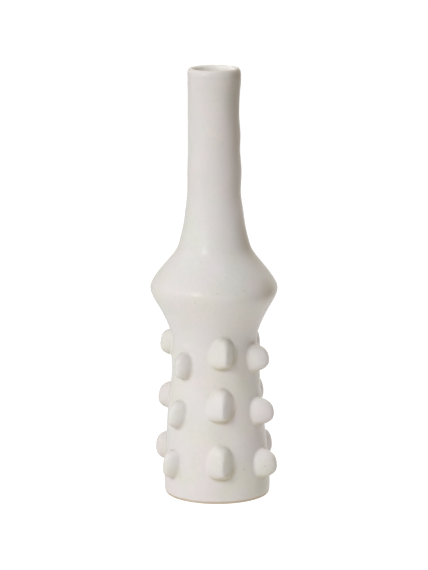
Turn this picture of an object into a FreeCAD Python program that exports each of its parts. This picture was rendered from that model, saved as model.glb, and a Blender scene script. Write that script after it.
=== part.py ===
# Stoneware bottle vase, built from the pieces a potter lutes together:
# a foot slab, a tapered wall that leans a little to -X, a flared shoulder in two halves,
# a hollow-sided collar, a long neck, a rounded lip and eighteen knobs of clay pressed
# onto the wall.
# Millimetres. The origin is the centre of the flat bottom, +Z goes up towards the mouth.

import FreeCAD, Part
import Sketcher
import math
import os

# Vessel dimensions: radii and heights of the outside, then the walls.
VESSEL = {
    "ContactRadius": 45.8,    # flat ring that touches the table
    "BaseRadius": 47.7,       # outside of the wall just above the foot
    "FootEdge": 5,            # height of the rounded lower edge
    "SlabTop": 7,             # thickness of the bottom slab
    "WaistHeight": 138,       # top of the tapered wall
    "WaistRadius": 38.2,
    "Lean": 2.8,              # how far the waist and all above it stand towards -X
    "WaistArc": 30,           # hollow of the waist
    "FlareAngle": 29.2,       # lower shoulder, from the vertical
    "EdgeHeight": 188,        # widest circle of the shoulder
    "EdgeRadius": 57,
    "LowerEdgeArc": 14,       # rounding just under the edge
    "UpperEdgeArc": 11,       # rounding just over the edge
    "CapAngle": 38.5,         # upper shoulder, from the vertical
    "CapHeight": 217,         # seam between shoulder and neck
    "ThroatAngle": 18,        # slope of the collar where its two hollows meet
    "ThroatArc": 35,          # tight hollow at the foot of the collar
    "NeckSeam": 272,          # seam between collar and neck, where the straight bore starts
    "SlimHeight": 350,        # narrowest place of the neck
    "SlimRadius": 22.95,
    "LipSeam": 377,           # seam between neck and lip
    "LipSeamRadius": 23.4,
    "LipRadius": 23.3,        # outside of the lip where its rounding starts
    "LipMouth": 19.4,         # inside of the lip where its rounding ends
    "RimHeight": 385,
    "BoreRadius": 19,
    "BodyWall": 5.5,          # wall thickness at the foot
    "ShoulderWall": 5,        # wall thickness at the waist and over the shoulder
}

# Six columns of three knobs, from the top row down. An azimuth is in degrees, seen from above
# and counted from -Y towards +X. Alternate columns sit about 10 mm lower.
KNOB_ROWS = ("top", "mid", "low")
KNOB_COLUMNS = {
    "front":      {"azimuth": (11, 7, 4.5), "height": (134, 87, 36),
                   "half_width": 14, "rise": 18, "drop": 15, "proud": 11.5},
    "right":      {"azimuth": (65, 64, 61.5), "height": (126.5, 78, 31),
                   "half_width": 14, "rise": 14.5, "drop": 13.5, "proud": 12.5},
    "back_right": {"azimuth": (127, 128, 121), "height": (135, 88, 39),
                   "half_width": 13, "rise": 14, "drop": 13, "proud": 11},
    "back":       {"azimuth": (190, 191, 187), "height": (125, 78, 31),
                   "half_width": 13, "rise": 14.5, "drop": 13.5, "proud": 11},
    "left":       {"azimuth": (-101, -107, -106), "height": (136, 86, 39),
                   "half_width": 12.5, "rise": 13.5, "drop": 12.5, "proud": 11},
    "front_left": {"azimuth": (-43.5, -50, -56.5), "height": (121.5, 77, 31),
                   "half_width": 11.5, "rise": 15, "drop": 14, "proud": 10},
}

doc = FreeCAD.newDocument("stoneware_vase")
sheet = doc.addObject("Spreadsheet::Sheet", "Dims")


def fill_sheet(rows):
    """Write one name and one number per row, with the name as the number's alias."""
    for row, (name, number) in enumerate(rows, start=1):
        sheet.set("A%d" % row, name)
        sheet.set("B%d" % row, str(number))
        sheet.setAlias("B%d" % row, name)


def knob_name(column, row):
    return "knob_%s_%s" % (column, row)


def knob_rows():
    """The knobs' dimensions as sheet rows, one set per knob."""
    rows = []
    for column, sizes in KNOB_COLUMNS.items():
        for index, row in enumerate(KNOB_ROWS):
            knob = knob_name(column, row)
            rows.append((knob + "_azimuth", sizes["azimuth"][index]))
            rows.append((knob + "_height", sizes["height"][index]))
            for key in ("half_width", "rise", "drop", "proud"):
                rows.append((knob + "_" + key, sizes[key]))
    return rows


def dim(expression):
    """The present value of an expression on the sheet's aliases."""
    return float(sheet.evalExpression(expression))


def plane(body, role):
    for feature in body.Origin.OriginFeatures:
        if feature.Role == role:
            return feature
    raise ValueError("no plane " + role)


def arc_middle(start, end, radius):
    """Middle point of the short arc from start to end. The arc's centre lies to the left of
    the way from start to end when the radius is positive, and to the right when negative."""
    chord = end - start
    half = chord.Length / 2
    sagitta = abs(radius) - math.sqrt(radius * radius - half * half)
    left = FreeCAD.Vector(-chord.y, chord.x, 0).normalize()
    side = -1 if radius > 0 else 1
    return (start + end) / 2 + left * side * sagitta


def profile(body, outline):
    """Closed sketch on the XZ plane. Each corner of the outline is (radius, height, arc): two
    expressions, and the radius of the arc that leads on to the next corner, or None for a line."""
    sketch = body.newObject("Sketcher::SketchObject", body.Name + "_profile")
    sketch.AttachmentSupport = [(plane(body, "XZ_Plane"), "")]
    sketch.MapMode = "FlatFace"
    corners = [FreeCAD.Vector(dim(radius), dim(height), 0) for radius, height, arc in outline]
    count = len(outline)
    for index, (radius, height, arc) in enumerate(outline):
        start = corners[index]
        end = corners[(index + 1) % count]
        if arc is None:
            sketch.addGeometry(Part.LineSegment(start, end), False)
        else:
            sketch.addGeometry(Part.Arc(start, arc_middle(start, end, dim(arc)), end), False)
    for index, (radius, height, arc) in enumerate(outline):
        pin_corner(sketch, index, radius, height, starts_at(sketch, index, corners[index]))
        if arc is not None:
            size = sketch.addConstraint(Sketcher.Constraint("Radius", index, abs(dim(arc))))
            sketch.setExpression("Constraints[%d]" % size, "abs(%s)" % arc)
    for index in range(count):
        following = (index + 1) % count
        shared = corners[following]
        sketch.addConstraint(Sketcher.Constraint(
            "Coincident",
            index, 3 - starts_at(sketch, index, corners[index]),
            following, starts_at(sketch, following, shared)))
    return sketch


def starts_at(sketch, index, point):
    """Which end of a sketch edge lies on the point: 1 for its start, 2 for its end."""
    return 1 if sketch.getPoint(index, 1).distanceToPoint(point) < 1e-6 else 2


def pin_corner(sketch, index, radius, height, end):
    """Hold one corner of the profile at its radius and height."""
    for kind, expression in (("DistanceX", radius), ("DistanceY", height)):
        number = sketch.addConstraint(Sketcher.Constraint(
            kind, -1, 1, index, end, dim(expression)))
        sketch.setExpression("Constraints[%d]" % number, expression)


def turned(name, outline, lean):
    """A piece turned about its own vertical axis, which stands at x = -lean."""
    body = doc.addObject("PartDesign::Body", name)
    body.Label = name
    sketch = profile(body, outline)
    turn = body.newObject("PartDesign::Revolution", name + "_turn")
    turn.Profile = sketch
    turn.ReferenceAxis = (sketch, ["V_Axis"])
    turn.Angle = 360
    if lean:
        body.setExpression("Placement.Base.x", "-Dims.Lean")
    return body


def disc_edge(name, radius, height, lean):
    """A circle of the leaning wall, as the edge of a loft."""
    circle = doc.addObject("Part::Circle", name)
    circle.setExpression("Radius", radius)
    circle.setExpression("Placement.Base.z", height)
    circle.setExpression("Placement.Base.x", lean)
    return circle


def leaning_cone(name, low_radius, high_radius):
    """Solid between the top of the slab and the waist, its top shifted by the lean."""
    low = disc_edge(name + "_low", low_radius, "Dims.SlabTop", "0")
    high = disc_edge(name + "_high", high_radius, "Dims.WaistHeight", "-Dims.Lean")
    cone = doc.addObject("Part::Loft", name)
    cone.Sections = [low, high]
    cone.Solid = True
    cone.Ruled = True
    return cone


def cut(name, base, tool):
    piece = doc.addObject("Part::Cut", name)
    piece.Base = base
    piece.Tool = tool
    piece.Label = name
    return piece


def half_egg(name, knob, length, lower, upper):
    """Upper or lower half of a knob's egg: a half ellipsoid whose local X points outwards."""
    half = doc.addObject("Part::Ellipsoid", name)
    half.Angle1 = lower
    half.Angle2 = upper
    half.setExpression("Radius1", "Dims.%s_%s" % (knob, length))
    half.setExpression("Radius2", "Dims.%s_proud" % knob)
    half.setExpression("Radius3", "Dims.%s_half_width" % knob)
    share = "((Dims.{0}_height - Dims.SlabTop) / (Dims.WaistHeight - Dims.SlabTop))".format(knob)
    wall_radius = "(Dims.BaseRadius - (Dims.BaseRadius - Dims.WaistRadius) * %s)" % share
    azimuth = "Dims.%s_azimuth" % knob
    half.setExpression("Placement.Base.x", "%s * sin(%s) - Dims.Lean * %s" % (wall_radius, azimuth, share))
    half.setExpression("Placement.Base.y", "-%s * cos(%s)" % (wall_radius, azimuth))
    half.setExpression("Placement.Base.z", "Dims.%s_height" % knob)
    half.setExpression("Placement.Rotation.Angle", azimuth + " - 90")
    return half


def pressed_knob(knob, vessel):
    """An egg of clay, narrow end up, with its back shaped to the vessel it is pressed onto."""
    egg = doc.addObject("Part::Fuse", knob + "_egg")
    egg.Base = half_egg(knob + "_upper", knob, "rise", 0, 90)
    egg.Tool = half_egg(knob + "_lower", knob, "drop", -90, 0)
    return cut(knob, egg, vessel)


def foot_slab():
    return turned("foot_slab", [
        ("0", "0", None),
        ("Dims.ContactRadius", "0",
         "(Dims.FootEdge ^ 2 + (Dims.BaseRadius - Dims.ContactRadius) ^ 2)"
         " / (2 * (Dims.BaseRadius - Dims.ContactRadius))"),
        ("Dims.BaseRadius", "Dims.FootEdge", None),
        ("Dims.BaseRadius", "Dims.SlabTop", None),
        ("0", "Dims.SlabTop", None),
    ], lean=False)


# Flare of the lower shoulder: radial and vertical reach of its two roundings.
WAIST_REACH = "Dims.WaistArc * (1 - cos(Dims.FlareAngle))"
FLARE_FOOT = "(Dims.WaistHeight + Dims.WaistArc * sin(Dims.FlareAngle))"
EDGE_REACH = "Dims.LowerEdgeArc * (1 - cos(Dims.FlareAngle))"
EDGE_FALL = "Dims.LowerEdgeArc * sin(Dims.FlareAngle)"
FLARE_OUTSIDE = [
    ("Dims.WaistRadius", "Dims.WaistHeight", "-Dims.WaistArc"),
    ("Dims.WaistRadius + " + WAIST_REACH, FLARE_FOOT, None),
    ("Dims.EdgeRadius - " + EDGE_REACH, "Dims.EdgeHeight - " + EDGE_FALL, "Dims.LowerEdgeArc"),
    ("Dims.EdgeRadius", "Dims.EdgeHeight", None),
]


def shoulder_lower():
    inward = "Dims.ShoulderWall * cos(Dims.FlareAngle)"
    upward = "Dims.ShoulderWall * sin(Dims.FlareAngle)"
    return turned("shoulder_lower", FLARE_OUTSIDE + [
        ("Dims.EdgeRadius - Dims.ShoulderWall", "Dims.EdgeHeight",
         "-(Dims.LowerEdgeArc - Dims.ShoulderWall)"),
        ("Dims.EdgeRadius - %s - %s" % (EDGE_REACH, inward),
         "Dims.EdgeHeight - %s + %s" % (EDGE_FALL, upward), None),
        ("Dims.WaistRadius + %s - %s" % (WAIST_REACH, inward), "%s + %s" % (FLARE_FOOT, upward),
         "Dims.WaistArc + Dims.ShoulderWall"),
        ("Dims.WaistRadius - Dims.ShoulderWall", "Dims.WaistHeight", None),
    ], lean=True)


def flare_outside():
    """The lower shoulder filled to its axis, which the backs of the top knobs are cut to."""
    return turned("flare_outside", FLARE_OUTSIDE + [
        ("0", "Dims.EdgeHeight", None),
        ("0", "Dims.WaistHeight", None),
    ], lean=True)


# Height and radius at which the straight slope of the upper shoulder starts, over the edge.
CAP_START = "(Dims.EdgeHeight + Dims.UpperEdgeArc * sin(Dims.CapAngle))"
CAP_START_RADIUS = "(Dims.EdgeRadius - Dims.UpperEdgeArc * (1 - cos(Dims.CapAngle)))"
# Outer and inner radius at the seam between shoulder and neck.
CAP_RADIUS = "(%s - (Dims.CapHeight - %s) * tan(Dims.CapAngle))" % (CAP_START_RADIUS, CAP_START)
CAP_INNER = "(%s - Dims.ShoulderWall / cos(Dims.CapAngle))" % CAP_RADIUS


def shoulder_upper():
    inward = "Dims.ShoulderWall * cos(Dims.CapAngle)"
    downward = "Dims.ShoulderWall * sin(Dims.CapAngle)"
    return turned("shoulder_upper", [
        ("Dims.EdgeRadius", "Dims.EdgeHeight", "Dims.UpperEdgeArc"),
        (CAP_START_RADIUS, CAP_START, None),
        (CAP_RADIUS, "Dims.CapHeight", None),
        (CAP_INNER, "Dims.CapHeight", None),
        ("%s - %s" % (CAP_START_RADIUS, inward), "%s - %s" % (CAP_START, downward),
         "-(Dims.UpperEdgeArc - Dims.ShoulderWall)"),
        ("Dims.EdgeRadius - Dims.ShoulderWall", "Dims.EdgeHeight", None),
    ], lean=True)


# The collar's tight hollow ends at the throat, and its long one runs out at the neck's seam.
THROAT = "(Dims.CapHeight + Dims.ThroatArc * (sin(Dims.CapAngle) - sin(Dims.ThroatAngle)))"
THROAT_RADIUS = "(%s - Dims.ThroatArc * (cos(Dims.ThroatAngle) - cos(Dims.CapAngle)))" % CAP_RADIUS
LONG_ARC = "((Dims.NeckSeam - %s) / sin(Dims.ThroatAngle))" % THROAT
NECK_SEAM_RADIUS = "(%s - %s * (1 - cos(Dims.ThroatAngle)))" % (THROAT_RADIUS, LONG_ARC)


def neck_collar():
    rise = "(Dims.NeckSeam - Dims.CapHeight)"
    drop = "(%s - Dims.BoreRadius)" % CAP_INNER
    return turned("neck_collar", [
        (CAP_RADIUS, "Dims.CapHeight", "-Dims.ThroatArc"),
        (THROAT_RADIUS, THROAT, "-" + LONG_ARC),
        (NECK_SEAM_RADIUS, "Dims.NeckSeam", None),
        ("Dims.BoreRadius", "Dims.NeckSeam", "({0} ^ 2 + {1} ^ 2) / (2 * {1})".format(rise, drop)),
        (CAP_INNER, "Dims.CapHeight", None),
    ], lean=True)


def neck_tube():
    return turned("neck_tube", [
        (NECK_SEAM_RADIUS, "Dims.NeckSeam", None),
        ("Dims.SlimRadius", "Dims.SlimHeight", None),
        ("Dims.LipSeamRadius", "Dims.LipSeam", None),
        ("Dims.BoreRadius", "Dims.LipSeam", None),
        ("Dims.BoreRadius", "Dims.NeckSeam", None),
    ], lean=True)


def lip_ring():
    rounding = "((Dims.LipRadius - Dims.LipMouth) / 2)"
    shoulder = "Dims.RimHeight - " + rounding
    return turned("lip_ring", [
        ("Dims.LipSeamRadius", "Dims.LipSeam", None),
        ("Dims.LipRadius", shoulder, rounding),
        ("Dims.LipRadius - " + rounding, "Dims.RimHeight", rounding),
        ("Dims.LipMouth", shoulder, None),
        ("Dims.BoreRadius", "Dims.LipSeam", None),
    ], lean=True)


def check_document():
    """Stop if any object of the document is in error."""
    for item in doc.Objects:
        if "Invalid" in item.State or "Error" in item.State:
            raise RuntimeError("%s failed: %s" % (item.Name, item.State))


def write_piece(piece):
    shape = piece.Shape
    if shape.isNull() or not shape.isValid() or len(shape.Solids) != 1:
        raise RuntimeError(piece.Label + " is not one valid solid")
    shape.exportStep("parts/%s.step" % piece.Label)
    print("%-22s %9.1f mm3" % (piece.Label, shape.Volume))


fill_sheet(list(VESSEL.items()) + knob_rows())
doc.recompute()

wall_outside = leaning_cone("wall_outside", "Dims.BaseRadius", "Dims.WaistRadius")
wall_inside = leaning_cone("wall_inside", "Dims.BaseRadius - Dims.BodyWall",
                           "Dims.WaistRadius - Dims.ShoulderWall")
vessel_outside = doc.addObject("Part::Fuse", "vessel_outside")
vessel_outside.Base = wall_outside
vessel_outside.Tool = flare_outside()
pieces = [
    foot_slab(),
    cut("body_wall", wall_outside, wall_inside),
    shoulder_lower(),
    shoulder_upper(),
    neck_collar(),
    neck_tube(),
    lip_ring(),
]
for column in KNOB_COLUMNS:
    for row in KNOB_ROWS:
        pieces.append(pressed_knob(knob_name(column, row), vessel_outside))

doc.recompute()
check_document()
os.makedirs("parts", exist_ok=True)
for piece in pieces:
    write_piece(piece)
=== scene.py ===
"""Finished clay and glaze of a stoneware bottle vase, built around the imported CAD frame.

Metres, +Z up, the camera looks along +Y. The vessel's pieces are cut from one continuous
surface, so that the glaze runs unbroken over the seams where the clay was luted together.
"""

import math

import bpy
import numpy as np
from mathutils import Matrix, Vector


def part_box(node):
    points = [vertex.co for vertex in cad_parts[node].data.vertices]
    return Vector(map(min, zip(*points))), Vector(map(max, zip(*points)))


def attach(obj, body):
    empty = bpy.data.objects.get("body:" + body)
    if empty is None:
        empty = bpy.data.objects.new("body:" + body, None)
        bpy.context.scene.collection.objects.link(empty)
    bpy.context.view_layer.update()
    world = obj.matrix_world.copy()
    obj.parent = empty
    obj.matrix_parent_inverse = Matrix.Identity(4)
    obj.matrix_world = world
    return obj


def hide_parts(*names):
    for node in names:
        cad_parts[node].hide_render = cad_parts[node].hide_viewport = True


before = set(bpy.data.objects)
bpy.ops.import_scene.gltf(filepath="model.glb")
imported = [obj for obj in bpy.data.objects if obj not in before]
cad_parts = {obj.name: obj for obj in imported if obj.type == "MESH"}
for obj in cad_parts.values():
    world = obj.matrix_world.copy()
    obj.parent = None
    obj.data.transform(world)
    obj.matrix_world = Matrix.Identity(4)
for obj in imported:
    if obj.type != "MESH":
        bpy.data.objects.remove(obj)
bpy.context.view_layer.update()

MM = 0.001
TURN = 2 * math.pi
AROUND = 240                 # columns of the vessel's surface
ROW_STEP = 1.2 * MM          # height of its rows, along the surface
LIP_STEP = 0.35 * MM         # finer rows for the rim
CENTRE = 0.5 * MM            # radius of the small ring at the middle of the foot slab
KNOB_AROUND = 72             # columns of a knob's surface

# Heights of the seams, from the frame.
SLAB_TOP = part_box("foot_slab")[1].z
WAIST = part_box("body_wall")[1].z
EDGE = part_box("shoulder_lower")[1].z
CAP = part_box("shoulder_upper")[1].z
NECK_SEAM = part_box("neck_collar")[1].z
LIP_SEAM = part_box("neck_tube")[1].z
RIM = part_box("lip_ring")[1].z


# ---------------------------------------------------------------- curves

def spline(places, values):
    """Natural cubic spline through the points, as a function that takes arrays."""
    x = np.asarray(places, float)
    y = np.asarray(values, float)
    step = np.diff(x)
    slope = np.diff(y) / step
    count = len(x)
    matrix = np.eye(count)
    right = np.zeros(count)
    for i in range(1, count - 1):
        matrix[i, i - 1:i + 2] = step[i - 1], 2 * (step[i - 1] + step[i]), step[i]
        right[i] = 6 * (slope[i] - slope[i - 1])
    bend = np.linalg.solve(matrix, right)

    def value(at):
        at = np.clip(at, x[0], x[-1])
        i = np.clip(np.searchsorted(x, at) - 1, 0, count - 2)
        a = (x[i + 1] - at) / step[i]
        b = (at - x[i]) / step[i]
        cubic = ((a ** 3 - a) * bend[i] + (b ** 3 - b) * bend[i + 1]) * step[i] ** 2 / 6
        return a * y[i] + b * y[i + 1] + cubic

    return value


def smooth(low, high, value):
    """0 below low, 1 above high, and an even ease between them."""
    t = np.clip((value - low) / (high - low), 0, 1)
    return t * t * (3 - 2 * t)


# Outside of the vessel, as (height, radius) in millimetres. Most of these numbers are the rounded
# result of a scratch fit to the photo's outline. A few were changed.
OUTSIDE = [
    (5, 47.4), (14, 47.6), (25, 46.9), (45, 45.7), (65, 43.8), (85, 42.0), (105, 40.1), (118, 39.6),
    (126, 39.3), (134, 38.4), (142, 37.8), (150, 39.6), (158, 42.7), (164, 45.6), (170, 48.7),
    (176, 52.3), (182, 55.5), (187, 57.0), (191, 56.6), (195, 54.7), (200, 51.4), (206, 46.8),
    (212, 41.8), (218, 36.9), (224, 33.1), (230, 31.0), (242, 28.1), (252, 26.6), (262, 25.3),
    (276, 24.0), (290, 24.0), (320, 23.4), (350, 22.9), (365, 23.1), (375, 23.5), (383, 23.2),
]
# Inside of the vessel. The photo hides it, so it is a guess.
INSIDE = [
    (7, 42.1), (60, 38.6), (118, 34.4), (142, 33.0), (158, 37.0), (176, 46.6), (188, 51.6),
    (197, 47.5), (206, 40.2), (217, 31.0), (232, 25.6), (250, 21.3), (272, 19.1), (325, 19.0),
    (378, 19.1),
]
# How far the turning axis stands from the foot's centre, as (height, x). It comes from the same fit,
# with points added and changed.
AXIS = [(0, 0.2), (40, -0.5), (80, -1.6), (125, -1.6), (145, -2.3), (167, -2.4), (187, -2.8),
        (200, -3.0), (218, -2.6), (260, -2.5), (320, -2.8), (385, -2.9)]


def heights_spline(points):
    places, values = zip(*points)
    curve = spline(places, values)
    return lambda z: curve(np.asarray(z) / MM) * MM


outside = heights_spline(OUTSIDE)
inside = heights_spline(INSIDE)
axis_x = heights_spline(AXIS)

# The hand's unevenness: (size in mm, lobes round the vessel, wavelength up it in mm, two phases).
HAND = [
    (0.22, 2, 190, 0.4, 1.3), (0.20, 3, 120, 2.1, 0.2), (0.12, 5, 74, 4.0, 2.6),
    (0.10, 1, 47, 5.2, 0.9), (0.07, 4, 31, 1.0, 4.4), (0.05, 7, 23, 3.3, 5.1),
]


# Dents and swellings of the wall: (azimuth in degrees, height, half spread round the vessel in
# degrees, half spread up it, depth in mm, less than 0 for a dent). Those at 90 and -90 follow the
# photo's outline and were chosen one by one. The two at height 187 only keep the shoulder's edge
# inside the CAD model's box. The rest are guesses.
DENTS = [
    (90, 375, 40, 7, 0.40), (90, 343, 42, 9, -0.50), (90, 327, 38, 7, 0.40), (90, 311, 40, 7, -0.45),
    (90, 294, 40, 8, 0.25), (90, 273, 40, 7, -0.55), (90, 246, 40, 9, -0.15),
    (-90, 376, 40, 6, -0.25), (-90, 350, 40, 14, 0.25), (-90, 306, 40, 11, -0.45),
    (-90, 237, 40, 7, 0.35), (-90, 110, 35, 8, -0.60), (55, 356, 22, 10, -0.45),
    (28, 300, 25, 13, -0.30), (-30, 335, 28, 16, -0.25), (180, 360, 45, 12, 0.35),
    (200, 318, 40, 12, -0.45), (0, 187, 45, 9, -0.45), (180, 187, 50, 9, -0.30),
    (150, 285, 38, 11, 0.35), (30, 160, 30, 12, -0.40),
    (-60, 150, 35, 14, 0.35), (170, 165, 45, 14, -0.50), (215, 95, 30, 20, 0.45),
]


def closeness(angle, z, azimuth, height, round_it, up_it):
    """1 at that azimuth in degrees and height in mm, fading with the given half spreads."""
    turned = (angle - math.radians(azimuth) + math.pi) % TURN - math.pi
    near = (turned / math.radians(round_it)) ** 2 + ((z / MM - height) / up_it) ** 2
    return np.exp(-near / 2)


def unevenness(angle, z):
    """Radial offset of the outside, in metres, for a surface thrown and scraped by hand. Its
    even part fades towards the left and right edges, whose line the profile itself gives."""
    total = 0
    for size, lobes, wave, phase, lift in HAND:
        total = total + size * np.cos(lobes * angle + phase) * np.sin(TURN * z / (wave * MM) + lift)
    total = total * (1 - 0.8 * np.sin(angle) ** 4)
    for *where, depth in DENTS:
        total = total + depth * closeness(angle, z, *where)
    return total * MM * smooth(0, 12 * MM, z)


def around_axis(angle, radius, z):
    """Point at that radius from the leaning axis. Angles are seen from above, from -Y to +X."""
    return np.stack([axis_x(z) + radius * np.sin(angle), -radius * np.cos(angle), z + 0 * angle], -1)


# ---------------------------------------------------------------- meshes

def unit(vectors):
    return vectors / np.linalg.norm(vectors, axis=-1, keepdims=True)


def grid_normals(grid):
    """Normals of a grid of points whose columns close round and whose rows don't."""
    across = np.roll(grid, -1, axis=1) - np.roll(grid, 1, axis=1)
    onward = np.gradient(grid, axis=0)
    return unit(np.cross(across, onward))


def band(rows, columns, start=0, closed=False):
    """Quads between rows of points, each row a ring whose columns close round."""
    faces = []
    for i in range(rows if closed else rows - 1):
        low = start + i * columns
        high = start + (i + 1) % rows * columns
        for j in range(columns):
            k = (j + 1) % columns
            faces.append((low + j, low + k, high + k, high + j))
    return faces


def make_piece(name, points, faces, normals, flat_faces=()):
    """Mesh object with the given vertex normals. flat_faces are added with their own normals."""
    mesh = bpy.data.meshes.new(name)
    mesh.from_pydata(points.tolist(), [], faces + list(flat_faces))
    mesh.polygons.foreach_set("use_smooth", [True] * len(faces) + [False] * len(flat_faces))
    mesh.update()
    corner = [tuple(normals[v]) for face in faces for v in face]
    for polygon in mesh.polygons[len(faces):]:
        corner += [tuple(polygon.normal)] * polygon.loop_total
    mesh.normals_split_custom_set(corner)
    add_glaze_marks(mesh, points)
    piece = bpy.data.objects.new(name, mesh)
    bpy.context.scene.collection.objects.link(piece)
    return piece


def add_glaze_marks(mesh, points):
    """Point attributes that say where the glaze gathered round the knobs, with painted shade below
    them, where it ran thin, where brown painted shade lies, and what is inside, where painted light
    makes it lighter.
    """
    marks = {"pool_and_shade": gathered_glaze_and_shade, "thin": glaze_thin, "brown": painted_shade_amount, "painted_light_inside": inside_wall}
    for name, amount in marks.items():
        layer = mesh.attributes.new(name, "FLOAT", "POINT")
        layer.data.foreach_set("value", amount(points).astype(np.float32))


# ---------------------------------------------------------------- knobs, as the frame has them

# How the balls of each column were pressed. "wide" and "tall": share of the CAD knob's width and
# height that the ball takes inside its glaze fillet. "more": how much prouder it is, in mm. "push":
# how far its crest is moved to the right, "lift": how far up, and "ridge": how long the crest is, as
# shares of half its size. "pinch": how much narrower its top is. "lean": how far the top leans left.
# "square": how square its lower right corner is. "side", "up" and "down": how full it is in those
# directions, where 1 would be a wedge and 2 a ball. "run": how much wider the fillet is at the
# lower right.
PRESS = {
    "front": dict(wide=0.90, tall=0.92, more=-0.4, push=0.05, lift=0.0, ridge=0.50,
                  pinch=0.14, lean=-0.02, square=0.26, side=1.30, up=1.70, down=1.35, run=1.5),
    "right": dict(wide=0.85, tall=0.92, more=2.2, push=0.06, lift=0.10, ridge=0.25,
                  pinch=0.06, lean=0.05, square=0.0, side=1.60, up=1.85, down=1.80, run=1.2),
    "back_right": dict(wide=0.94, tall=0.94, more=1.0, push=0.10, lift=0.0, ridge=0.20,
                       pinch=0.06, lean=0.05, square=0.0, side=1.90, up=2.10, down=1.90, run=0.6),
    "back": dict(wide=0.90, tall=0.90, more=-0.4, push=0.15, lift=0.0, ridge=0.35,
                 pinch=0.08, lean=0.05, square=0.10, side=1.50, up=2.00, down=1.60, run=0.8),
    "left": dict(wide=0.94, tall=0.94, more=-0.3, push=0.10, lift=0.0, ridge=0.15,
                 pinch=0.06, lean=0.00, square=0.0, side=2.00, up=2.10, down=2.00, run=0.4),
    "front_left": dict(wide=0.84, tall=0.90, more=0.9, push=0.10, lift=0.0, ridge=0.30,
                       pinch=0.06, lean=-0.08, square=0.0, side=1.60, up=2.00, down=1.80, run=0.9),
}
FILLET = 2.0 * MM
LAST_TILT = math.radians(75)  # how far round its side the ball goes before the fillet starts
RIDGE_SAG = 0.24              # how much a ridge drops towards its ends
TUCK = 0.05 * MM              # how deep the fillet's brink goes into the wall
GATHER_SHADE_IN = 6.5 * MM            # how far glaze gathered and painted shade reach over a ball
GATHER_SHADE_OUT = 1.6 * MM           # and over the wall beside it
# The balls got larger from row to row down the vessel: size, and more mm that they stand proud.
ROWS = {"top": (0.98, -0.3), "mid": (1.00, 0.2), "low": (1.03, 0.4)}


class Knob:
    """Where a CAD knob sits on the wall, how large it is and how it was pressed."""

    def __init__(self, name, order):
        self.name = name
        self.order = order
        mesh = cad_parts[name].data
        count = len(mesh.polygons)
        centres = np.empty(count * 3)
        areas = np.empty(count)
        mesh.polygons.foreach_get("center", centres)
        mesh.polygons.foreach_get("area", areas)
        middle = areas @ centres.reshape(-1, 3) / areas.sum()
        self.azimuth = math.atan2(middle[0] - axis_x(middle[2]), -middle[1])
        self.out = np.array([math.sin(self.azimuth), -math.cos(self.azimuth), 0])
        self.side = np.array([math.cos(self.azimuth), math.sin(self.azimuth), 0])
        points = np.empty(len(mesh.vertices) * 3)
        mesh.vertices.foreach_get("co", points)
        points = points.reshape(-1, 3)
        tip = points[np.argmax(points @ self.out)]
        self.height = tip[2]
        self.axis = np.array([axis_x(self.height), 0, self.height])
        column, row = name[len("knob_"):].rsplit("_", 1)
        size, prouder = ROWS[row]
        self.press = dict(PRESS[column])
        self.push = self.press["push"] + 0.05 * math.sin(2.4 * order)
        self.lean = self.press["lean"] + 0.05 * math.sin(1.7 * order)
        self.proud = ((tip - self.axis) @ self.out - outside(self.height)
                      + (self.press["more"] + prouder) * MM)
        self.half_width = np.ptp(points @ self.side) / 2 * self.press["wide"] * size
        self.rise = (points[:, 2].max() - self.height) * self.press["tall"] * size
        self.drop = (self.height - points[:, 2].min()) * self.press["tall"] * size
        self.lift = self.rise * self.press["lift"]

    def local(self, points):
        """Sideways and upward places of points on this knob's side of the vessel, and a mask."""
        away = points - self.axis
        return away @ self.side, away[..., 2], away @ self.out > 0

    def seat(self, a, c):
        """How far out from the axis the wall is, at a sideways and c up from the knob's middle."""
        z = self.height + c
        reach = np.sqrt(np.maximum(outside(z) ** 2 - a ** 2, 0))
        for _ in range(4):
            point = self.axis + a[..., None] * self.side + reach[..., None] * self.out
            x = point[..., 0] - axis_x(z)
            y = point[..., 1]
            radius = np.hypot(x, y)
            miss = radius - outside(z) - unevenness(np.arctan2(x, -y), z)
            slope = (x * self.out[0] + y * self.out[1]) / radius
            reach = reach - miss / slope
        return reach

    def outline(self, turn):
        """Sideways and upward reach of the egg's outline. turn 0 points sideways, a quarter up."""
        power = 0.88 - self.press["square"] * np.maximum(np.cos(turn + TURN / 8), 0)
        across, up = [np.sign(v) * np.abs(v) ** power for v in (np.cos(turn), np.sin(turn))]
        c = np.where(up > 0, self.rise, self.drop) * up
        a = self.half_width * across * (1 - self.press["pinch"] * up) - self.lean * c
        return a, c

    def fullness(self, turn):
        """How round the ball is in each direction from its crest."""
        upright = np.where(turn < TURN / 2, self.press["up"], self.press["down"])
        return self.press["side"] * np.cos(turn) ** 2 + upright * np.sin(turn) ** 2

    def fillet(self, turn):
        """Width of the glaze that fills the corner round the ball, most at the lower right."""
        return FILLET * (1 + self.press["run"] * np.maximum(np.cos(turn + TURN / 8), 0))


KNOB_NAMES = sorted(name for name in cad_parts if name.startswith("knob_"))
KNOBS = [Knob(name, order) for order, name in enumerate(KNOB_NAMES)]


# Brown painted shade on the vessel's darker right side: (azimuth in degrees, height, half spread
# round the vessel in degrees, half spread up it, amount).
PAINTED_SHADE_SPOTS = [(74, 352, 26, 50, 0.64), (72, 232, 16, 14, 0.75), (60, 190, 9, 6.5, 0.55),
           (75, 380, 22, 6, 1.0), (38, 113, 7, 9, 0.22)]


def painted_shade_amount(points):
    """From 0 to 1: how much brown painted shade lies on the glaze."""
    z = points[:, 2]
    angle = np.arctan2(points[:, 0] - axis_x(z), -points[:, 1])
    total = np.zeros(len(points))
    for *where, amount in PAINTED_SHADE_SPOTS:
        total = np.maximum(total, amount * closeness(angle, z, *where))
    return total


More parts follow.
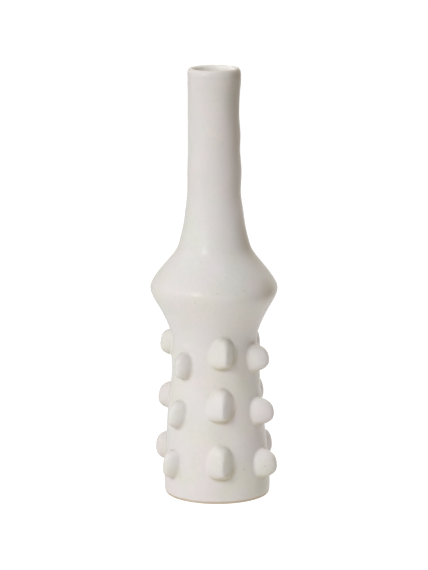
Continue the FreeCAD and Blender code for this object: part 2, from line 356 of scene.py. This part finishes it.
def gathered_glaze_and_shade(points):
    """From 0 to 1: how much glaze gathered round the foot of the nearest knob, with painted shade,
    most below it and weaker on the knobs to the left.
    """
    total = np.zeros(len(points))
    for knob in KNOBS:
        a, c, near = knob.local(points)
        high = np.where(c > 0, knob.rise, knob.drop)
        share = np.hypot(a / knob.half_width, c / high)
        gap = (share - 1.0) * np.hypot(a, c) / np.maximum(share, 0.2)
        below = 0.05 + 0.95 * smooth(-0.1, -0.95, c / high - 0.35 * a / knob.half_width)
        # The painted shade is weaker on the knobs to the left, on the lit side.
        below = below * (0.3 + 0.7 * smooth(-1.0, -0.3, knob.azimuth))
        gathered_and_shaded = np.where(gap < 0, np.exp(-(gap / GATHER_SHADE_IN) ** 4), np.exp(-(gap / GATHER_SHADE_OUT) ** 2))
        total = np.maximum(total, np.where(near, below * gathered_and_shaded, 0))
    return total


def glaze_thin(points):
    """From 0 to 1: how thin the glaze ran over the rim."""
    return smooth(RIM - 2.2 * MM, RIM - 0.3 * MM, points[:, 2])


def inside_wall(points):
    """1 on the inside of the vessel, 0 on its outside. The inside gets a lighter colour there as
    painted light.
    """
    z = points[:, 2]
    radius = np.hypot(points[:, 0] - axis_x(z), points[:, 1])
    return smooth(1.5 * MM, 0.5 * MM, radius - inside(z)) * (z > SLAB_TOP - MM)


def build_knob(knob):
    """Ball of clay pressed on the wall, with a glaze fillet that runs out flush with the wall."""
    turn = np.arange(KNOB_AROUND) * TURN / KNOB_AROUND
    a_edge, c_edge = knob.outline(turn)
    reach = np.hypot(a_edge, c_edge)
    fillet = knob.fillet(turn)
    shrink = 1 - (fillet - FILLET) / reach
    power = 2 / knob.fullness(turn)
    rings = []
    for tilt in np.linspace(0.10, 1, 26) * LAST_TILT:
        share = math.sin(tilt) ** power
        sag = 1 - RIDGE_SAG * knob.press["ridge"] * np.sin(turn) ** 2 * (1 - share)
        rings.append((share * shrink, knob.proud * math.cos(tilt) ** power * sag))
    side, brink = rings[-1]
    for t in np.linspace(0, 1, 13)[1:]:
        first, middle, last = (1 - t) ** 2, 2 * t * (1 - t), t * t
        share = first * side + middle * 1.02 * shrink + last * (1 + FILLET / reach)
        rings.append((share, first * brink - last * TUCK))
    grid = []
    for share, lift in rings:
        inward = 1 - np.minimum(share, 1)
        a = a_edge * share + knob.push * knob.half_width * (1 - np.minimum(share, 1) ** 2)
        c = c_edge * (share + knob.press["ridge"] * inward) + knob.lift * inward
        out = knob.seat(a, c) + lift
        grid.append(knob.axis + a[:, None] * knob.side + out[:, None] * knob.out
                    + c[:, None] * np.array([0, 0, 1]))
    grid = np.array(grid)[::-1]
    count = len(rings) * KNOB_AROUND
    crest = np.array([knob.push * knob.half_width]), np.array([knob.lift])
    tip = (knob.axis + crest[0] * knob.side + (knob.seat(*crest) + knob.proud) * knob.out
           + crest[1] * np.array([0, 0, 1]))
    back = tip - (knob.proud + 2 * MM) * knob.out
    points = np.concatenate([grid.reshape(-1, 3), tip[None], back[None]])
    normals = np.concatenate([grid_normals(grid).reshape(-1, 3), knob.out[None], -knob.out[None]])
    faces = band(len(rings), KNOB_AROUND)
    top = (len(rings) - 1) * KNOB_AROUND
    follow = [(j, (j + 1) % KNOB_AROUND) for j in range(KNOB_AROUND)]
    faces += [(top + j, top + k, count) for j, k in follow]
    return make_piece(knob.name + "_clay", points, faces, normals,
                      [(k, j, count + 1) for j, k in follow])


# ---------------------------------------------------------------- the vessel

def resample(points, step):
    """The same line of (radius, height) points with even spacing, its ends kept."""
    length = np.r_[0, np.cumsum(np.hypot(*np.diff(points, axis=0).T))]
    at = np.linspace(0, length[-1], max(2, int(round(length[-1] / step)) + 1))
    return np.stack([np.interp(at, length, points[:, k]) for k in (0, 1)], -1)


def rounded(points):
    """Smooth line through the points."""
    points = np.array(points)
    along = np.concatenate([[0], np.cumsum(np.hypot(*np.diff(points, axis=0).T))])
    across, up = spline(along, points[:, 0]), spline(along, points[:, 1])
    fine = np.linspace(0, along[-1], 200)
    return np.stack([across(fine), up(fine)], -1)


def wall_line(curve, start, end):
    z = np.linspace(start, end, 400)
    return np.stack([curve(z), z], -1)


# Wiped edge of the foot slab: how far in from its side, and how high.
EDGE_IN = 1.9 * MM
EDGE_HIGH = 5 * MM


def foot_line():
    """Underside, wiped edge and side of the foot slab, from near its centre out."""
    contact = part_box("foot_slab")[1].x - EDGE_IN
    reach = outside(EDGE_HIGH) - contact
    turn = np.linspace(0, math.pi / 2, 40)
    edge = np.stack([contact + reach * np.sin(turn), EDGE_HIGH * (1 - np.cos(turn))], -1)
    centre = np.array([[CENTRE, 0]])
    return np.concatenate([centre, edge, wall_line(outside, EDGE_HIGH, SLAB_TOP)])


# Rim's outline: (mm in from the outside, mm below the top).
LIP_POINTS = [(0.10, 3.0), (0.32, 2.2), (0.68, 1.35), (1.20, 0.60), (1.80, 0.12), (2.40, 0.0),
              (3.00, 0.08), (3.60, 0.45), (3.92, 1.10)]


def lip_line():
    """Rim with a flat top and rolled corners, from seam to seam over the top."""
    outer, inner = float(outside(LIP_SEAM)), float(inside(LIP_SEAM))
    scale = (outer - inner) / (4.0 * MM)
    top = [[outer - x * scale * MM, RIM - down * MM] for x, down in LIP_POINTS]
    return rounded([[outer, LIP_SEAM]] + top + [[inner, LIP_SEAM]])


SEAMS = [SLAB_TOP, WAIST, EDGE, CAP, NECK_SEAM, LIP_SEAM]
WALL_NAMES = ["body_wall", "shoulder_lower", "shoulder_upper", "neck_collar", "neck_tube"]


def vessel_path():
    """One path of (radius, height, share of the unevenness) from the foot's underside up the
    outside, over the rim and down the inside to the floor, and each stretch's rows in it."""
    lines = [("foot", foot_line(), 1, 1)]
    for name, low, high in zip(WALL_NAMES, SEAMS, SEAMS[1:]):
        lines.append((name + "_outside", wall_line(outside, low, high), 1, 1))
    lines.append(("lip", lip_line(), 1, 0.5))
    for name, low, high in reversed(list(zip(WALL_NAMES, SEAMS, SEAMS[1:]))):
        lines.append((name + "_inside", wall_line(inside, high, low), 0.5, 0.5))
    rows, stretch = [], {}
    for name, line, share_start, share_end in lines:
        step = LIP_STEP if name == "lip" else ROW_STEP
        line = resample(line, step)
        share = np.linspace(share_start, share_end, len(line))
        first = max(len(rows) - 1, 0)
        rows += list(np.column_stack([line, share]))[1 if rows else 0:]
        stretch[name] = slice(first, len(rows))
    return np.array(rows), stretch


PATH, STRETCH = vessel_path()
ANGLES = np.arange(AROUND) * TURN / AROUND
SURFACE = np.array([around_axis(ANGLES, radius + share * unevenness(ANGLES, z), z)
                    for radius, z, share in PATH])
SURFACE_NORMALS = grid_normals(SURFACE)


def ring_piece(name, *stretches):
    """Closed ring of clay between seams, from one or two stretches of the vessel's path."""
    grid = np.concatenate([SURFACE[STRETCH[s]] for s in stretches])
    normals = np.concatenate([SURFACE_NORMALS[STRETCH[s]] for s in stretches]).reshape(-1, 3)
    starts = np.cumsum([0] + [len(SURFACE[STRETCH[s]]) for s in stretches])
    faces = []
    for low, high in zip(starts, starts[1:]):
        faces += band(high - low, AROUND, low * AROUND)
    seams = []
    for above, below in zip(starts[1:], list(starts[1:-1]) + [0]):
        ring, other = (above - 1) * AROUND, below * AROUND
        for j in range(AROUND):
            k = (j + 1) % AROUND
            seams.append((ring + j, ring + k, other + k, other + j))
    return make_piece(name, grid.reshape(-1, 3), faces, normals, seams)


def foot_piece():
    """Solid disc: underside, wiped edge, and the vase's floor on top."""
    under = SURFACE[STRETCH["foot"]]
    floor_radius = np.linspace(PATH[STRETCH["foot"]][-1][0], CENTRE, 24)[1:]
    floor = np.array([around_axis(ANGLES, radius + 0 * ANGLES, SLAB_TOP) for radius in floor_radius])
    rows = len(under) + len(floor)
    last = (rows - 1) * AROUND
    points = np.concatenate([under.reshape(-1, 3), floor.reshape(-1, 3),
                             [[0, 0, 0]], [[axis_x(SLAB_TOP), 0, SLAB_TOP]]])
    normals = np.concatenate([SURFACE_NORMALS[STRETCH["foot"]].reshape(-1, 3),
                              np.tile([0, 0, 1.0], (len(floor) * AROUND, 1)),
                              [[0, 0, -1]], [[0, 0, 1]]])
    faces = band(len(under), AROUND)
    lid = band(len(floor) + 1, AROUND, (len(under) - 1) * AROUND)
    for j in range(AROUND):
        k = (j + 1) % AROUND
        lid.append((k, j, rows * AROUND))
        lid.append((last + j, last + k, rows * AROUND + 1))
    return make_piece("foot_slab_clay", points, faces, normals, lid)


# ---------------------------------------------------------------- materials

def feed(tree, socket, value):
    """Links the socket to another, or sets its value."""
    if isinstance(value, bpy.types.NodeSocket):
        tree.links.new(value, socket)
    else:
        socket.default_value = value


def add(tree, kind, inputs=(), **settings):
    """Shader node with its settings, and its inputs set or linked, as (name, value) pairs."""
    node = tree.nodes.new("ShaderNode" + kind)
    for key, value in settings.items():
        setattr(node, key, value)
    for name, value in inputs:
        feed(tree, node.inputs[name], value)
    return node


def new_material(name):
    material = bpy.data.materials.new(name)
    material.use_nodes = True
    tree = material.node_tree
    tree.nodes.clear()
    return material, tree


def noise(tree, place, scale, detail=2.0, rough=0.5):
    node = add(tree, "TexNoise", [("Vector", place), ("Scale", scale), ("Detail", detail),
                                  ("Roughness", rough)])
    return node.outputs["Fac"]


def remap(tree, value, low, high, to_low=0.0, to_high=1.0):
    node = add(tree, "MapRange", [("Value", value), ("From Min", low), ("From Max", high),
                                  ("To Min", to_low), ("To Max", to_high)],
               interpolation_type="SMOOTHSTEP")
    return node.outputs["Result"]


def mix(tree, share, first, second, blend="MIX"):
    node = tree.nodes.new("ShaderNodeMix")
    node.data_type = "RGBA"
    node.blend_type = blend
    for socket, value in ((node.inputs[0], share), (node.inputs[6], first), (node.inputs[7], second)):
        feed(tree, socket, value)
    return node.outputs[2]


def maths(tree, operation, first, second=0.0):
    node = add(tree, "Math", operation=operation)
    for socket, value in zip(node.inputs, (first, second)):
        feed(tree, socket, value)
    return node.outputs[0]


def times(tree, first, second):
    return maths(tree, "MULTIPLY", first, second)


def mark(tree, name):
    return add(tree, "Attribute", attribute_name=name).outputs["Fac"]


def glaze_tones(tree, place):
    """Creamy glaze with faint pink, grey, yellow and cool clouds, and fine flecks."""
    clouds = remap(tree, noise(tree, place, 24, 3), 0.38, 0.62)
    colour = mix(tree, clouds, (0.792, 0.720, 0.700, 1), (0.746, 0.744, 0.700, 1))
    blotches = remap(tree, noise(tree, place, 60, 3), 0.42, 0.62)
    colour = mix(tree, times(tree, blotches, 0.45), colour, (0.719, 0.705, 0.685, 1))
    warm = remap(tree, noise(tree, place, 30, 2), 0.40, 0.64)
    colour = mix(tree, times(tree, warm, 0.50), colour, (0.752, 0.742, 0.655, 1))
    flecks = remap(tree, noise(tree, place, 300, 4, 0.6), 0.42, 0.68)
    colour = mix(tree, times(tree, flecks, 0.40), colour, (0.700, 0.680, 0.650, 1))
    cool = remap(tree, noise(tree, place, 33, 2), 0.62, 0.40)
    return mix(tree, times(tree, cool, 0.5), colour, (0.760, 0.715, 0.735, 1))


def glaze_marks(tree, colour):
    """The same glaze where it gathered round the knobs, partly painted shade below them, where it ran
    thin over the rim, and where brown painted shade lies on the right.
    """
    # Olive tint: glaze gathered round the knobs, partly painted shade below them.
    colour = mix(tree, times(tree, mark(tree, "pool_and_shade"), 0.70), colour, (0.60, 0.545, 0.40, 1))
    colour = mix(tree, times(tree, mark(tree, "thin"), 0.5), colour, (0.74, 0.65, 0.58, 1))
    # Brown painted shade on the vessel's right side.
    return mix(tree, mark(tree, "brown"), colour, (0.52, 0.45, 0.35, 1))


def specks(tree, place):
    """Strength of the small brown specks: ragged dots of uneven size, thick in some places."""
    cells = add(tree, "TexVoronoi", [("Vector", place), ("Scale", 210.0), ("Randomness", 1.0)])
    luck = add(tree, "SeparateColor", [("Color", cells.outputs["Color"])])
    size = remap(tree, luck.outputs[0], 0.80, 1.0, 0.0, 0.22)
    ragged = maths(tree, "ADD", cells.outputs["Distance"],
                   times(tree, noise(tree, place, 1600, 2), 0.12))
    speck = remap(tree, maths(tree, "SUBTRACT", ragged, size), 0.09, 0.0)
    strength = times(tree, remap(tree, luck.outputs[1], 0.0, 1.0, 0.06, 0.45),
                     remap(tree, noise(tree, place, 17, 1), 0.40, 0.60, 0.05, 1.0))
    return times(tree, speck, strength)


def below_glaze(tree, place):
    """1 where the clay at the foot is bare, below the glaze's slightly wavy lower edge."""
    height = add(tree, "SeparateXYZ", [("Vector", place)]).outputs["Z"]
    edge = maths(tree, "ADD", height, times(tree, noise(tree, place, 90, 2), -1.6 * MM))
    return remap(tree, edge, 1.9 * MM, 1.3 * MM)


def relief(tree, place, bare, grain):
    """Normal of a surface with slow swells, fine ripples, and grain on the bare clay."""
    swell = times(tree, noise(tree, place, 45, 1), 2.2)
    ripple = maths(tree, "ADD", times(tree, noise(tree, place, 210, 2), 0.8), swell)
    ripple = maths(tree, "ADD", ripple, times(tree, noise(tree, place, 900, 2), 0.12))
    ripple = maths(tree, "ADD", ripple, times(tree, times(tree, bare, grain), 0.5))
    bump = add(tree, "Bump", [("Height", ripple), ("Strength", 0.10), ("Distance", 0.6 * MM)])
    return bump.outputs["Normal"]


def glaze_material():
    """Creamy stoneware glaze with faint clouds and specks, bare clay below its lower edge."""
    material, tree = new_material("creamy_glaze")
    place = add(tree, "TexCoord").outputs["Object"]
    colour = glaze_marks(tree, glaze_tones(tree, place))
    colour = mix(tree, specks(tree, place), colour, (0.42, 0.36, 0.27, 1))
    # Painted light: the inside of the vessel gets a lighter colour than the glaze outside.
    colour = mix(tree, mark(tree, "painted_light_inside"), colour, (0.86, 0.83, 0.79, 1))
    bare = below_glaze(tree, place)
    grain = noise(tree, place, 1500, 4, 0.7)
    clay = mix(tree, grain, (0.50, 0.41, 0.31, 1), (0.70, 0.60, 0.48, 1))
    colour = mix(tree, bare, colour, clay)
    gloss = remap(tree, noise(tree, place, 160, 2), 0.3, 0.7, 0.18, 0.27)
    rough = maths(tree, "MAXIMUM", gloss, times(tree, bare, 0.85))
    shader = add(tree, "BsdfPrincipled", [("Base Color", colour), ("Roughness", rough),
                                          ("Normal", relief(tree, place, bare, grain)),
                                          ("IOR", 1.5), ("Specular IOR Level", 0.4)])
    output = add(tree, "OutputMaterial")
    tree.links.new(shader.outputs["BSDF"], output.inputs["Surface"])
    return material


# ---------------------------------------------------------------- stage

HOLE = 0.001                  # radius that the discs leave open at their middle
TENT = 4.5                    # radius of the tent
FLOOR_GAP = 0.05 * MM         # room between the floor and the foot's underside


def glowing_material(name, glow, low, high, tint=(1, 1, 1)):
    """Matt sheet that glows with an even strength, for the studio's floor, tent and cards."""
    material, tree = new_material(name)
    place = add(tree, "TexCoord").outputs["Object"]
    tone = mix(tree, noise(tree, place, 3), (low, low, low, 1), (high, high, high, 1))
    shader = add(tree, "BsdfPrincipled", [("Base Color", tone), ("Roughness", 0.9),
                                          ("Specular IOR Level", 0.0),
                                          ("Emission Color", (*tint, 1)),
                                          ("Emission Strength", glow)])
    output = add(tree, "OutputMaterial")
    tree.links.new(shader.outputs["BSDF"], output.inputs["Surface"])
    return material


def stage_disc(name, profile, material):
    """Surface of revolution from (radius, height) points, as part of the studio."""
    count = 96
    turn = np.arange(count) * TURN / count
    grid = np.array([[(r * math.cos(t), r * math.sin(t), z) for t in turn] for r, z in profile])
    mesh = bpy.data.meshes.new(name)
    mesh.from_pydata(grid.reshape(-1, 3).tolist(), [], band(len(profile), count))
    mesh.materials.append(material)
    disc = bpy.data.objects.new(name, mesh)
    bpy.context.scene.collection.objects.link(disc)
    return disc


def build_stage():
    """White floor with an upturned edge, which only the camera sees, a dimmer tent, which only the
    glaze mirrors, and two bounce cards just under the floor, which only light the vase."""
    paper = glowing_material("pale_floor", 0.97, 0.20, 0.22)
    floor = stage_disc("floor", [(HOLE, -FLOOR_GAP), (7, 0), (8.2, 0.35), (9, 1.2), (9, 7)], paper)
    floor.visible_glossy = False
    arch = np.linspace(0, TURN / 4, 16)
    dome = stage_disc("dome", [(TENT * math.cos(t) + HOLE, TENT * math.sin(t)) for t in arch],
                      glowing_material("tent_cloth", 0.72, 0.02, 0.03, (1.0, 0.98, 0.93)))
    ground = stage_disc("ground", [(HOLE, -0.5 * MM), (TENT, -0.5 * MM)],
                        glowing_material("tent_ground", 0.74, 0.02, 0.03))
    for sheet in (dome, ground):
        sheet.visible_camera = False
    for sheet in (floor, dome, ground):
        sheet.visible_diffuse = False
        sheet.visible_shadow = False
    near_card = glowing_material("near_card", 0.80, 0.02, 0.03, (1.0, 0.96, 0.92))
    far_card = glowing_material("far_card", 1.62, 0.02, 0.03)
    for name, inner, outer, material in (("near_card", HOLE, 0.11, near_card),
                                         ("far_card", 0.17, 0.36, far_card)):
        card = stage_disc(name, [(inner, -MM), (outer, -MM)], material)
        card.visible_camera = False
        card.visible_glossy = False
        card.visible_shadow = False


MIDDLE = 0.2                  # height that the lamps look at
LAMP_DISTANCE = 2.2


def aim(thing, place, target):
    thing.location = place
    thing.rotation_euler = (Vector(target) - Vector(place)).to_track_quat("-Z", "Y").to_euler()


def softbox(name, azimuth, elevation, size, power, tint=(1, 1, 1), mirrored=True):
    """Rectangular light that looks at the middle of the vase. Azimuth 0 is the camera's side."""
    lamp = bpy.data.lights.new(name, "AREA")
    lamp.shape = "RECTANGLE"
    lamp.size, lamp.size_y = size
    lamp.energy = power
    lamp.color = tint
    thing = bpy.data.objects.new(name, lamp)
    thing.visible_glossy = mirrored
    bpy.context.scene.collection.objects.link(thing)
    target = Vector((0, 0, MIDDLE))
    turn, lift = math.radians(azimuth), math.radians(elevation)
    ray = Vector((math.sin(turn) * math.cos(lift), -math.cos(turn) * math.cos(lift), math.sin(lift)))
    aim(thing, target + ray * LAMP_DISTANCE, target)


def build_light():
    softbox("key", -39, 27, (0.9, 0.9), 23.4, (0.94, 1.0, 1.05), mirrored=False)
    softbox("highlight", -34, 28, (0.34, 0.65), 3.6)
    softbox("front", 14, 5, (0.8, 0.8), 3.3, (1.0, 0.92, 0.86), mirrored=False)
    softbox("side", -102, 28, (1.0, 1.0), 8, (1.0, 0.96, 0.92), mirrored=False)
    softbox("top", 25, 77, (0.6, 0.6), 10.5, (0.93, 0.99, 1.16), mirrored=False)
    softbox("back", 152, 40, (1.0, 1.0), 16, (1.0, 0.98, 0.80), mirrored=False)
    world = bpy.data.worlds.new("studio")
    world.use_nodes = True
    background = world.node_tree.nodes["Background"]
    background.inputs["Color"].default_value = (1.0, 0.86, 0.66, 1)
    background.inputs["Strength"].default_value = 0.20
    bpy.context.scene.world = world
    bpy.context.scene.view_settings.view_transform = "Standard"


# Solved from the photo by a scratch script.
CAMERA_PLACE = (-0.0028, -2.571, 0.718)
LOOKS_DOWN = 11.607           # degrees below level


def build_camera():
    lens = bpy.data.cameras.new("camera")
    lens.lens = 185.5
    lens.sensor_width = 36
    camera = bpy.data.objects.new("camera", lens)
    bpy.context.scene.collection.objects.link(camera)
    camera.location = CAMERA_PLACE
    camera.rotation_euler = (math.radians(90 - LOOKS_DOWN), 0, 0)
    bpy.context.scene.camera = camera


def finish_piece(piece, node, material):
    piece.data.materials.append(material)
    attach(piece, "root")
    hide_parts(node)


def main():
    glaze = glaze_material()
    finish_piece(foot_piece(), "foot_slab", glaze)
    for name in WALL_NAMES:
        piece = ring_piece(name + "_clay", name + "_outside", name + "_inside")
        finish_piece(piece, name, glaze)
    finish_piece(ring_piece("lip_ring_clay", "lip"), "lip_ring", glaze)
    for knob in KNOBS:
        finish_piece(build_knob(knob), knob.name, glaze)
    build_stage()
    build_light()
    build_camera()


main()
